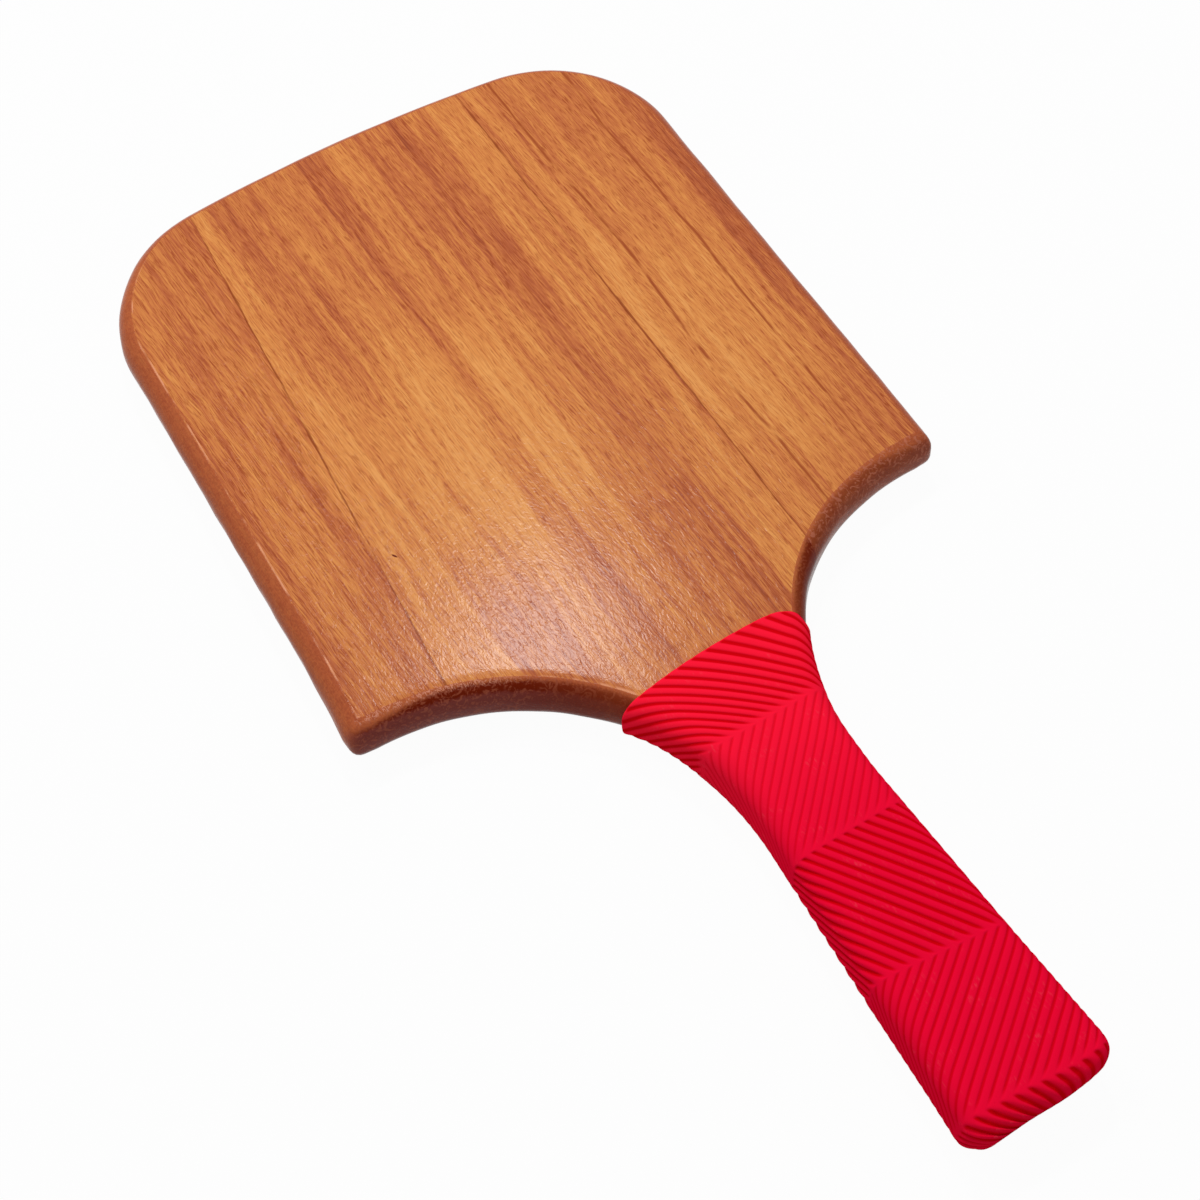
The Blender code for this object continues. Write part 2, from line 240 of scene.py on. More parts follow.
def turn(shape, end, centre, angle, steps):
    """Carries the last point of the outline round a centre, and returns the new last point."""
    done = bmesh.ops.spin(shape, geom=[end], cent=centre, axis=(0.0, 0.0, 1.0), angle=angle, steps=steps,
                          use_merge=False, use_duplicate=False)
    return next(item for item in done["geom_last"] if isinstance(item, bmesh.types.BMVert))


def run_to(shape, end, points):
    """Carries the outline on through some points, and returns the new last point."""
    for point in points:
        following = shape.verts.new(point)
        shape.edges.new((end, following))
        end = following
    return end


def half_outline(shape):
    """Right half of the wood's outline, from the middle of the top to the middle of the butt."""
    arch_centre = Vector((0.0, HALF_LENGTH - TOP_ARCH_RADIUS, 0.0))
    reach = TOP_ARCH_RADIUS - TOP_CORNER_RADIUS
    corner_x = BLADE_WIDTH / 2 - TOP_CORNER_RADIUS
    joint = acos(corner_x / reach)
    corner_centre = arch_centre + Vector((corner_x, reach * sin(joint), 0.0))

    end = shape.verts.new((0.0, HALF_LENGTH, 0.0))
    end = turn(shape, end, arch_centre, joint - pi / 2, steps=24)
    end = turn(shape, end, corner_centre, -joint, steps=36)

    foot_centre = Vector((BLADE_WIDTH / 2 - FOOT_CORNER_RADIUS, BLADE_FOOT + FOOT_CORNER_RADIUS, 0.0))
    end = run_to(shape, end, [foot_centre + Vector((FOOT_CORNER_RADIUS, 0.0, 0.0))])
    end = turn(shape, end, foot_centre, -pi / 2, steps=12)
    end = run_to(shape, end, shoulder_line()[1:])

    butt_centre = Vector((BUTT_WIDTH / 2 - BUTT_CORNER_RADIUS, WOOD_BUTT + BUTT_CORNER_RADIUS, 0.0))
    end = run_to(shape, end, [butt_centre + Vector((BUTT_CORNER_RADIUS, 0.0, 0.0))])
    end = turn(shape, end, butt_centre, -pi / 2, steps=8)
    run_to(shape, end, [(0.0, WOOD_BUTT, 0.0)])


def routed_blank():
    """The glued panel before it is parted: the outline at full thickness with rounded rims."""
    blank = bmesh.new()
    half_outline(blank)
    bmesh.ops.mirror(blank, geom=blank.verts[:] + blank.edges[:], axis="X", merge_dist=SAME_PLACE)
    bmesh.ops.remove_doubles(blank, verts=blank.verts, dist=SAME_PLACE)
    for edge in [e for e in blank.edges if e.calc_length() > LONGEST_EDGE]:
        bmesh.ops.subdivide_edges(blank, edges=[edge], cuts=int(edge.calc_length() / LONGEST_EDGE))
    for vert in blank.verts:
        vert.co = on_bat(*vert.co)
    bmesh.ops.edgeloop_fill(blank, edges=blank.edges[:])
    for face in blank.faces:
        if face.normal.z > 0:
            face.normal_flip()
    lower = blank.faces[:]
    raised = bmesh.ops.extrude_face_region(blank, geom=lower)
    upper = [item for item in raised["geom"] if isinstance(item, bmesh.types.BMVert)]
    bmesh.ops.translate(blank, verts=upper, vec=(0.0, 0.0, WOOD_THICKNESS))
    bmesh.ops.recalc_face_normals(blank, faces=blank.faces)
    rims = [e for e in blank.edges if abs(e.verts[0].co.z - e.verts[1].co.z) < SAME_PLACE]
    bmesh.ops.bevel(blank, geom=rims, offset=EDGE_RADIUS, affect="EDGES", segments=EDGE_SEGMENTS,
                    profile=0.5, material=-1)
    bmesh.ops.translate(blank, verts=blank.verts, vec=(0.0, 0.0, WOOD_LOW.z))
    round_over(blank)
    add_border(blank)
    return blank


def routed_rim(turned, outward, facing_foot):
    """How far out and down a point of a plain rounded rim moves to lie where the router cut it."""
    on_left = share_between(-outward.x - outward.y, -0.5, 0.5)
    bite = SHALLOW_BITE + (DEEP_BITE - SHALLOW_BITE) * on_left
    start = SHALLOW_START + (DEEP_START - SHALLOW_START) * on_left
    start += (FOOT_START - start) * facing_foot
    radius = bite / (1 - sin(start))
    angle = start + turned * (1 - start / (pi / 2))
    moved_out = EDGE_RADIUS * (1 - sin(turned)) - radius * (1 - sin(angle))
    moved_down = radius * (cos(start) - cos(angle)) - EDGE_RADIUS * (1 - cos(turned))
    return moved_out, moved_down


def round_over(blank):
    """Gives the rounded edges their shape, and draws the two corners of the foot out to a point.

    Each point keeps how far its edge has turned from flat to upright, how squarely it faces the foot
    and whether it lies on an arris, for the wood's finish.
    """
    rounded, foot, arris = [blank.verts.layers.float.new(name) for name in ("rounded", "foot", "arris")]
    blank.normal_update()
    for vert in blank.verts:
        outward = Vector((vert.normal.x, vert.normal.y, 0.0)).normalized()
        side = 1 if vert.co.z > WOOD_MIDDLE else -1
        fall = WOOD_THICKNESS / 2 - abs(vert.co.z - WOOD_MIDDLE)
        turned = acos(max(0.0, 1.0 - max(0.0, fall) / EDGE_RADIUS))
        facing_foot = share_between(-outward.y, FOOT_BEGINS, FOOT_IN_FULL)

        moved_out, moved_down = routed_rim(turned, outward, facing_foot)
        moved_out += noise.noise(vert.co / SANDING_WAVE) * SANDING_DEPTH * turned
        if abs(vert.co.x) > BLADE_WIDTH / 2 - FOOT_CORNER_RADIUS and outward.y < 0:
            moved_out += FOOT_POINT * (2 * outward.x * outward.y) ** 4 * sin(turned)
        by_foot = share_between(vert.co.y, BLADE_FOOT + SWING_REACH, BLADE_FOOT) ** 2
        by_side = share_between(-vert.co.x, SWING_START, SWING_START + SWING_BLEND)
        vert.co.x -= FOOT_SWING * by_foot * by_side * max(0.0, -outward.x)
        vert.co += outward * moved_out - Vector((0.0, 0.0, side * moved_down))
        vert[rounded] = turned / (pi / 2)
        vert[foot] = facing_foot
        vert[arris] = max(0.0, -outward.x) if fall < SAME_PLACE else 0.0
    blank.normal_update()


def add_border(blank):
    """Sets a border into the flat faces: a hair's breadth behind an arris, and broad along the foot."""
    foot = blank.verts.layers.float["foot"]
    arris = blank.verts.layers.float["arris"]
    # The two flat faces have by far the most corners
    flats = sorted(blank.faces, key=lambda face: len(face.verts))[-2:]
    bmesh.ops.inset_region(blank, faces=flats, thickness=ARRIS_BORDER)
    inner = {vert for face in flats for vert in face.verts}
    for vert in inner:
        rim = next(e.other_vert(vert) for e in vert.link_edges if e.other_vert(vert) not in inner)
        from_corner = BLADE_WIDTH / 2 - FOOT_CORNER_RADIUS - abs(vert.co.x)
        share = vert[foot] * share_between(from_corner, 0.0, FOOT_BORDER_BLEND)
        vert.co += (vert.co - rim.co) * share * (FOOT_BORDER / ARRIS_BORDER - 1)
        vert[arris] = 0.0


def seam_plane(side, top_x, foot_x):
    """Point and normal of a glue line, moved a hair to one side of it."""
    top = Vector((top_x, HALF_LENGTH, 0.0))
    foot = Vector((foot_x, BLADE_FOOT, 0.0))
    along = (top - foot).normalized()
    normal = Vector((along.y, -along.x, 0.0))
    return top + normal * side * JOINT_GAP / 2, normal


def saw(board, plane, keep):
    """Cuts a board at a plane, keeps the side that the sign names and closes the sawn face."""
    point, normal = plane
    geometry = board.verts[:] + board.edges[:] + board.faces[:]
    bmesh.ops.bisect_plane(board, geom=geometry, dist=SAME_PLACE / 10, plane_co=point,
                           plane_no=normal * -keep, clear_outer=True)
    bmesh.ops.edgeloop_fill(board, edges=[e for e in board.edges if e.is_boundary])


def add_piece(name, shape, material, node, sharp_turn):
    """Makes the finished piece, which stands for a CAD node and rides with it."""
    bmesh.ops.recalc_face_normals(shape, faces=shape.faces)
    mesh = bpy.data.meshes.new(name)
    shape.to_mesh(mesh)
    shape.free()
    mesh.materials.append(material)
    mesh.shade_smooth()
    mesh.set_sharp_from_angle(angle=radians(sharp_turn))
    piece = bpy.data.objects.new(name, mesh)
    bpy.context.scene.collection.objects.link(piece)
    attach(piece, "root")
    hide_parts(node)


def make_boards():
    left = (LEFT_SEAM_AT_TOP, LEFT_SEAM_AT_FOOT)
    right = (RIGHT_SEAM, RIGHT_SEAM)
    boards = (
        ("left_board", "side_wood", left_wood(), [(seam_plane(-1, *left), -1)]),
        ("centre_board", "middle_wood", centre_wood(),
         [(seam_plane(1, *left), 1), (seam_plane(-1, *right), -1)]),
        ("right_board", "side_wood", right_wood(), [(seam_plane(1, *right), 1)]),
    )
    blank = routed_blank()
    for node, slot, material, cuts in boards:
        board = blank.copy()
        for plane, keep in cuts:
            saw(board, plane, keep)
        add_piece("lacquered_" + node, board, material, node, sharp_turn=40.0)
    blank.free()


# Grip sleeve

def wood_half_width(y):
    """Half the width of the handle or of the shoulders at a place along the bat."""
    side = HANDLE_SIDE
    if y <= side[0].y:
        return side[0].x
    for low, high in zip(side, side[1:]):
        if y <= high.y:
            return low.x + (high.x - low.x) * (y - low.y) / (high.y - low.y)
    return side[-1].x


def handle_side():
    """Right side of the wood under the sleeve, from the butt up."""
    return [Vector((BUTT_WIDTH / 2, WOOD_BUTT, 0.0))] + shoulder_line()[::-1]


HANDLE_SIDE = handle_side()


def spread(y):
    """How much wider a wall of even thickness measures along X where the wood's side slants."""
    step = 0.001
    slope = (wood_half_width(y + step) - wood_half_width(y - step)) / (2 * step)
    return hypot(1.0, slope)


def rounding(y, radius):
    """How far a corner of that radius at the end of the butt draws in at a place along the bat."""
    left = max(0.0, radius - (y + HALF_LENGTH))
    return radius - sqrt(radius ** 2 - min(left, radius) ** 2)


def standoff(y, side):
    """How far the rubber's outside stands off the wood; it is stretched thin over the shoulders.

    Side runs from -1 on the left to 1 on the right, where the thin part reaches further down.
    """
    return SLEEVE_STANDOFF - THINNING * eased_between(y + THIN_SHIFT * side, -THIN_ABOVE, -THIN_BELOW)


def outer_section(y, inset, side=0.0):
    """Half width, half height and corner radius of the sleeve's outside, drawn in by an inset."""
    off_wood = standoff(y, side)
    half_width = wood_half_width(y) + off_wood * spread(y) - inset
    half_width -= rounding(y, SLEEVE_CORNER_RADIUS) - rounding(y, BUTT_ROLL_RADIUS)
    half_height = WOOD_THICKNESS / 2 + off_wood - inset
    firm = 1 - (SLEEVE_STANDOFF - off_wood) / THINNING
    half_width -= SIDE_WEAR * firm
    corner = min(max(EDGE_RADIUS + off_wood - FIRM_EDGE * firm - inset, SLOT_HALF_HEIGHT), half_height)
    return half_width, half_height, corner


def bore_section(y, inset, side=0.0):
    """Half width, half height and corner radius of the sleeve's bore, drawn in by an inset."""
    half_width = wood_half_width(y) + SLEEVE_CLEARANCE * spread(y) - inset
    half_height = WOOD_THICKNESS / 2 + SLEEVE_CLEARANCE - inset
    corner = min(max(EDGE_RADIUS + SLEEVE_CLEARANCE - inset, SLOT_HALF_HEIGHT), half_height)
    return half_width, half_height, corner


def box_pieces(half_width, half_height, corner):
    """Lengths of the flats and turns of a rounded rectangle, from the middle of its top side round."""
    flat = half_width - corner
    wall = 2 * (half_height - corner)
    bend = corner * pi / 2
    return (flat, bend, wall, bend, 2 * flat, bend, wall, bend, flat)


def on_rounded_box(share, half_width, half_height, corner):
    """Point and outward normal on a rounded rectangle, by the share of its length gone round."""
    pieces = box_pieces(half_width, half_height, corner)
    left = (share % 1.0) * sum(pieces)
    for index, piece in enumerate(pieces):
        if left <= piece:
            break
        left -= piece
    quarter = index // 2
    start = quarter * pi / 2
    if index % 2:
        angle = start + left / corner
        centre_x = (half_width - corner) * (1 if quarter in (0, 1) else -1)
        centre_z = (half_height - corner) * (1 if quarter in (0, 3) else -1)
        normal = Vector((sin(angle), cos(angle)))
        return Vector((centre_x, centre_z)) + normal * corner, normal
    normal = Vector((round(sin(start)), round(cos(start))))
    along = Vector((normal.y, -normal.x))
    before_middle = piece / 2 if index in (2, 4, 6) else (0.0 if index == 0 else piece)
    middle = Vector((normal.x * half_width, normal.y * half_height))
    return middle + along * (left - before_middle), normal


def on_shoulder(x, slant, box):
    """X on a rounded rectangle whose rounding reaches further in where the wood's side slants."""
    half_width, _, corner = box
    start = half_width - corner
    reach = min(corner * (slant - 1), start / 2)
    if abs(x) <= start:
        return x * (start - reach) / start
    return copysign(abs(x) - reach * (half_width - abs(x)) / corner, x)


class Row:
    """One row of points all the way round the rubber.

    It has a place along the bat, an inset from its section, a turn round it and a depth for its grooves.
    tilt is how much it climbs across the bat. softness runs from 0, flat ribs with narrow grooves, to 1,
    even waves. left_depth is how deep the grooves are on the left side, as a share of that depth.
    """

    def __init__(self, y, inset, turned, depth, section, tilt=0.0, softness=0.0, left_depth=1.0):
        self.y = y
        self.inset = inset
        self.turned = turned
        self.depth = depth
        self.section = section
        self.tilt = tilt
        self.softness = softness
        self.left_depth = left_depth


def band_rows(high, low, first_band):
    """Places of a band's rows from its upper seam to its lower one, and the share of the depth at each."""
    rows = [(high, 1.0)] if first_band else [(high - below, depth) for below, depth in BELOW_SEAM]
    last_plain = low + ABOVE_SEAM[0][0]
    start = rows[-1][0]
    steps = int((start - last_plain) / ROW_STEP)
    rows += [(start + (last_plain - start) * i / steps, 1.0) for i in range(1, steps)]
    return rows + [(low + above, depth) for above, depth in ABOVE_SEAM]


def lip_rows(start):
    """Rows over the rounded lip of the sleeve's top edge."""
    rows = []
    for i in range(CORNER_STEPS):
        angle = pi / 2 * i / CORNER_STEPS
        y = start + LIP_RADIUS * cos(angle)
        inset = LIP_RADIUS * (1 - sin(angle))
        rows.append(Row(y, inset, 0.0, BAND_DEPTHS[0] * i / CORNER_STEPS, outer_section,
                        softness=BAND_SOFTNESS[0], left_depth=LEFT_DEPTHS[0]))
    return rows


def butt_rows(start, turned, hand, tilt):
    """Rows over the rolled end of the butt, whose grooves soon get deep, and one at the slot's edge."""
    rows = []
    step = BUTT_ROLL_RADIUS * pi / 2 / BUTT_STEPS
    end_length = sum(box_pieces(*outer_section(start, 0.0)))
    for i in range(BUTT_STEPS + 1):
        angle = pi / 2 * i / BUTT_STEPS
        y = start - BUTT_ROLL_RADIUS * sin(angle)
        inset = BUTT_ROLL_RADIUS * (1 - cos(angle))
        depth = BUTT_DEPTH * min(1.0, 0.1 + i / 3)
        softness = min(BUTT_SOFTNESS, i / 4)
        rows.append(Row(y, inset, turned, depth, outer_section, tilt * (1 - i / BUTT_STEPS), softness))
        turned += hand * step / tan(radians(BUTT_ANGLE)) / end_length
    slot_inset = SLEEVE_HALF_HEIGHT - SLOT_HALF_HEIGHT
    rows.append(Row(-HALF_LENGTH, slot_inset, turned, BUTT_DEPTH / 4, outer_section))
    return rows


def ribbed_rows():
    """Rows of the sleeve's outside from its top edge to the slot in the butt."""
    start = SLEEVE_TOP - LIP_RADIUS
    roll_start = -HALF_LENGTH + BUTT_ROLL_RADIUS
    stops = [start] + [from_butt - HALF_LENGTH for from_butt in SEAMS_FROM_BUTT] + [roll_start]
    rows = lip_rows(start)
    turned = 0.0
    hand = 1
    tilt_above = 0.0
    for index, (high, low) in enumerate(zip(stops, stops[1:])):
        places = band_rows(high, low, index == 0)
        for (y, share), (following, _) in zip(places, places[1:] + [(low, 0.0)]):
            tilt = SEAM_TILTS[index] + (tilt_above - SEAM_TILTS[index]) * (y - low) / (high - low)
            rows.append(Row(y, 0.0, turned, BAND_DEPTHS[index] * share, outer_section, tilt,
                            BAND_SOFTNESS[index], LEFT_DEPTHS[index]))
            round_length = sum(box_pieces(*outer_section((y + following) / 2, 0.0)))
            turned += hand * (y - following) / tan(radians(BAND_ANGLES[index])) / round_length
        hand = -hand
        tilt_above = SEAM_TILTS[index]
    return rows + butt_rows(roll_start, turned, hand, tilt_above)


def bore_rows(turned):
    """Rows of the sleeve's inside, from the slot back to the top edge, turning back as they go."""
    bore_end = -HALF_LENGTH + BUTT_LIP
    slot_inset = WOOD_THICKNESS / 2 + SLEEVE_CLEARANCE - SLOT_HALF_HEIGHT
    rows = [Row(bore_end, slot_inset, turned, 0.0, bore_section)]
    for i in range(CORNER_STEPS, -1, -1):
        angle = pi / 2 * i / CORNER_STEPS
        y = bore_end + BUTT_INNER_RADIUS * (1 - sin(angle))
        rows.append(Row(y, BUTT_INNER_RADIUS * (1 - cos(angle)), turned, 0.0, bore_section))
    low = rows[-1].y
    for i in range(1, BORE_STEPS + 1):
        y = low + (SLEEVE_TOP - low) * i / BORE_STEPS
        rows.append(Row(y, 0.0, turned * (1 - i / BORE_STEPS), 0.0, bore_section))
    return rows


def top_edge(y, x):
    """How far the sleeve's top edge lies above its named place; its right end is stretched further up."""
    fade = share_between(y, SLEEVE_TOP - TOP_BLEND, SLEEVE_TOP)
    share = x / TOP_HALF_WIDTH
    drop = RIGHT_DROP * min(1.2, max(0.0, share)) ** 8
    return fade * (TOP_RISE + TOP_TILT * x - TOP_BOW * share ** 2 - drop)


def butt_edge(y, x, z):
    """How far the butt draws back towards its underside and to the right; z is from the wood's middle."""
    fade = share_between(y, BUTT_LEAN_BLEND - HALF_LENGTH, -HALF_LENGTH)
    end_flat = SLEEVE_HALF_HEIGHT - BUTT_ROLL_RADIUS
    lean = BUTT_LEAN * max(0.0, (end_flat - z) / (2 * end_flat))
    bulge = BUTT_BULGE * (1.0 - min(1.0, abs(x - BULGE_MIDDLE) / BULGE_REACH) ** 2) ** 2
    fall = RIGHT_FALL * max(0.0, x / (BUTT_WIDTH / 2)) ** 4
    return fade * (lean + BUTT_SKEW * (x + BUTT_WIDTH / 2) - LEFT_REACH - bulge + fall)


def on_sleeve(row, column):
    """Point of the rubber on a row, at a column that counts the points of every rib in turn.

    With it comes how deep it lies in a full groove, from 0 to 1.
    """
    rib, point = divmod(column, len(RIB_PROFILE))
    across, depth_there = RIB_PROFILE[point]
    share = (rib + across) / RIBS + row.turned
    box = row.section(row.y, row.inset)
    place, normal = on_rounded_box(share, *box)
    y = row.y + row.tilt * place.x + top_edge(row.y, place.x)
    side = max(-1.0, min(1.0, place.x / box[0]))
    box = row.section(y, row.inset, side)
    place, normal = on_rounded_box(share, *box)
    place.x = on_shoulder(place.x, spread(y), box)
    softness = max(row.softness, SIDE_SOFTNESS * abs(normal.x))
    depth_there += (0.5 + 0.5 * cos(2 * pi * across) - depth_there) * softness
    uneven = 1.0 + UNEVENNESS * noise.noise(Vector((rib * RIB_APART, y / UNEVEN_WAVE, 0.0)))
    uneven *= 1.0 + (row.left_depth - 1.0) * max(0.0, -normal.x) + (RIGHT_DEPTH - 1.0) * max(0.0, normal.x)
    depth = min(row.depth * uneven, standoff(y, side) - THINNEST)
    place = place - normal * depth * depth_there
    if row.section is outer_section:
        place.x -= SLEEVE_SHIFT * share_between(row.y, -SHIFT_END, SHIFT_BLEND - SHIFT_END)
    y += butt_edge(y, place.x, place.y)
    sunk = depth_there * min(1.0, row.depth / BAND_DEPTHS[0])
    return on_bat(place.x, y, WOOD_MIDDLE + place.y), sunk


def make_sleeve():
    rows = ribbed_rows()
    rows += bore_rows(rows[-1].turned)
    columns = RIBS * len(RIB_PROFILE)
    shape = bmesh.new()
    bmesh.ops.create_grid(shape, x_segments=columns, y_segments=len(rows), size=0.5)
    groove = shape.verts.layers.float.new("groove")
    for vert in shape.verts:
        column = round((vert.co.x + 0.5) * columns) % columns
        row = rows[round((vert.co.y + 0.5) * len(rows)) % len(rows)]
        vert.co, vert[groove] = on_sleeve(row, column)
    bmesh.ops.remove_doubles(shape, verts=shape.verts, dist=SAME_PLACE / 10)
    add_piece("ribbed_grip_sleeve", shape, red_rubber(), "grip_sleeve", sharp_turn=180.0)


# Materials

class Finish:
    """A material whose nodes are added and joined one by one."""

    def __init__(self, name):
        self.material = bpy.data.materials.new(name)
        self.material.use_nodes = True
        self.tree = self.material.node_tree
        self.shader = self.tree.nodes["Principled BSDF"]

    def set(self, socket, value):
        if isinstance(value, bpy.types.NodeSocket):
            self.tree.links.new(value, socket)
        else:
            socket.default_value = value

    def millimetres(self, shift=(0.0, 0.0, 0.0)):
        """Object coordinates in millimetres, shifted so that each board is cut from another place."""
        coordinates = self.tree.nodes.new("ShaderNodeTexCoord")
        mapping = self.tree.nodes.new("ShaderNodeMapping")
        mapping.inputs["Scale"].default_value = (1000.0, 1000.0, 1000.0)
        mapping.inputs["Location"].default_value = shift
        self.tree.links.new(coordinates.outputs["Object"], mapping.inputs["Vector"])
        return mapping.outputs["Vector"]

    def split(self, vector):
        node = self.tree.nodes.new("ShaderNodeSeparateXYZ")
        self.set(node.inputs[0], vector)
        return node.outputs["X"], node.outputs["Y"], node.outputs["Z"]

    def join(self, x, y, z):
        node = self.tree.nodes.new("ShaderNodeCombineXYZ")
        for socket, value in zip(node.inputs, (x, y, z)):
            self.set(socket, value)
        return node.outputs[0]

    def maths(self, operation, a, b=0.0, c=0.0, clamp=False):
        node = self.tree.nodes.new("ShaderNodeMath")
        node.operation = operation
        node.use_clamp = clamp
        for socket, value in zip(node.inputs, (a, b, c)):
            self.set(socket, value)
        return node.outputs[0]

    def times(self, a, b):
        return self.maths("MULTIPLY", a, b)

    def from_place(self, value, place):
        """How far a value lies from a place, whichever way."""
        return self.maths("ABSOLUTE", self.maths("SUBTRACT", value, place))

    def varied(self, value, pattern, amount):
        """A value with a pattern's rise and fall about its middle added to it."""
        return self.maths("MULTIPLY_ADD", self.maths("SUBTRACT", pattern, 0.5), amount, value)

    def noise(self, vector, size, detail=2.0, roughness=0.5, distortion=0.0):
        """A cloudy pattern from 0 to 1 whose patches are that many millimetres long each way."""
        stretch = self.tree.nodes.new("ShaderNodeVectorMath")
        stretch.operation = "MULTIPLY"
        self.set(stretch.inputs[0], vector)
        stretch.inputs[1].default_value = [1 / length for length in size]
        node = self.tree.nodes.new("ShaderNodeTexNoise")
        node.inputs["Scale"].default_value = 1.0
        node.inputs["Detail"].default_value = detail
        node.inputs["Roughness"].default_value = roughness
        node.inputs["Distortion"].default_value = distortion
        self.set(node.inputs["Vector"], stretch.outputs[0])
        return node.outputs["Fac"]

    def between(self, value, start, end):
        """0 at the start, 1 at the end and smooth between them, whichever of the two is greater."""
        node = self.tree.nodes.new("ShaderNodeMapRange")
        node.interpolation_type = "SMOOTHSTEP"
        node.inputs["From Min"].default_value = start
        node.inputs["From Max"].default_value = end
        self.set(node.inputs["Value"], value)
        return node.outputs["Result"]

    def ramp(self, value, stops, smooth):
        """Colours or greys at places from 0 to 1."""
        node = self.tree.nodes.new("ShaderNodeValToRGB")
        node.color_ramp.interpolation = smooth
        elements = node.color_ramp.elements
        while len(elements) < len(stops):
            elements.new(0.5)
        for element, (place, colour) in zip(elements, stops):
            element.position = place
            element.color = (*colour, 1.0) if isinstance(colour, tuple) else (colour, colour, colour, 1.0)
        self.set(node.inputs["Fac"], value)
        return node.outputs["Color"]

    def mix(self, share, a, b):
        node = self.tree.nodes.new("ShaderNodeMix")
        node.data_type = "RGBA"
        self.set(node.inputs["Factor"], share)
        first, second = [socket for socket in node.inputs if socket.type == "RGBA"]
        self.set(first, (*a, 1.0) if isinstance(a, tuple) else a)
        self.set(second, (*b, 1.0) if isinstance(b, tuple) else b)
        return [socket for socket in node.outputs if socket.type == "RGBA"][0]

    def kept(self, name):
        """A number that the piece's own points keep."""
        node = self.tree.nodes.new("ShaderNodeAttribute")
        node.attribute_name = name
        return node.outputs["Fac"]

    def bump(self, height, distance):
        node = self.tree.nodes.new("ShaderNodeBump")
        node.inputs["Distance"].default_value = distance
        self.set(node.inputs["Height"], height)
        self.set(self.shader.inputs["Normal"], node.outputs["Normal"])


# Colours of the lacquered wood, from its darkest fibres to its palest bands
DARK_FIBRE = (0.302, 0.068, 0.030)
RED_BROWN = (0.463, 0.121, 0.046)
TAN = (0.580, 0.186, 0.057)
HONEY = (0.688, 0.262, 0.071)
PALE_FIBRE = (0.770, 0.336, 0.100)
PORE = (0.330, 0.066, 0.020)
GLUE = (0.230, 0.034, 0.008)
EDGE_STAIN_AND_SHADE = (0.350, 0.074, 0.030)
EDGE_GLOW = (0.440, 0.102, 0.037)
END_GRAIN_AND_SHEEN = (0.215, 0.046, 0.036)
PALE_SWIRL_AND_HIGHLIGHT = (0.560, 0.200, 0.130)
PAINTED_GLINT = (0.800, 0.370, 0.260)
BURNT_END = (0.140, 0.010, 0.001)
PAINTED_ARRIS_HIGHLIGHT = (0.760, 0.320, 0.170)

# Length of the wood's patterns across the board, along it and through it, in millimetres
WANDER_SIZE = (18.0, 70.0, 18.0)
STREAK_SIZE = (1.9, 80.0, 1.9)
CLOUD_SIZE = (9.0, 42.0, 9.0)
SWAY_SIZE = (9.0, 26.0, 9.0)
FIBRE_SIZE = (0.32, 9.0, 0.32)
PORE_SIZE = (0.24, 5.0, 0.24)
BREAK_SIZE = (3.0, 11.0, 3.0)
GLUE_BREAK_SIZE = (30.0, 22.0, 30.0)
RIPPLE_SIZE = (1.5, 1.5, 1.5)
SWIRL_SIZE = (2.6, 2.6, 2.6)
GLINT_STROKE_SIZE = (0.8, 1.5, 0.8)
PEEL_SIZE = (1.3, 2.6, 1.3)

# How far the bands wander and the fibres sway, in millimetres, and how much the fibres slant
BAND_WANDER = 7.0
FIBRE_SWAY = 2.5
FIBRE_SLANT = 0.06

# Where along or across the bat each of these begins, and where it is in full, in millimetres
PATCH_FROM_TOP = (140.0, 75.0)
PATCH_FROM_FOOT = (-10.0, 45.0)
FOOT_CORNERS = (68.0, 98.0)
LEFT_OF_FOOT = (-40.0, -70.0)
BY_SLEEVE = (-12.0, -32.0)

# How much each pattern adds to the wood's tone
STREAK_CONTRAST = 2.0
CLOUD_CONTRAST = 0.55
FIBRE_CONTRAST = 2.4

LACQUER_ROUGHNESS = 0.15
LACQUER_SHINE = 0.041
LACQUER_RELIEF = 0.00004


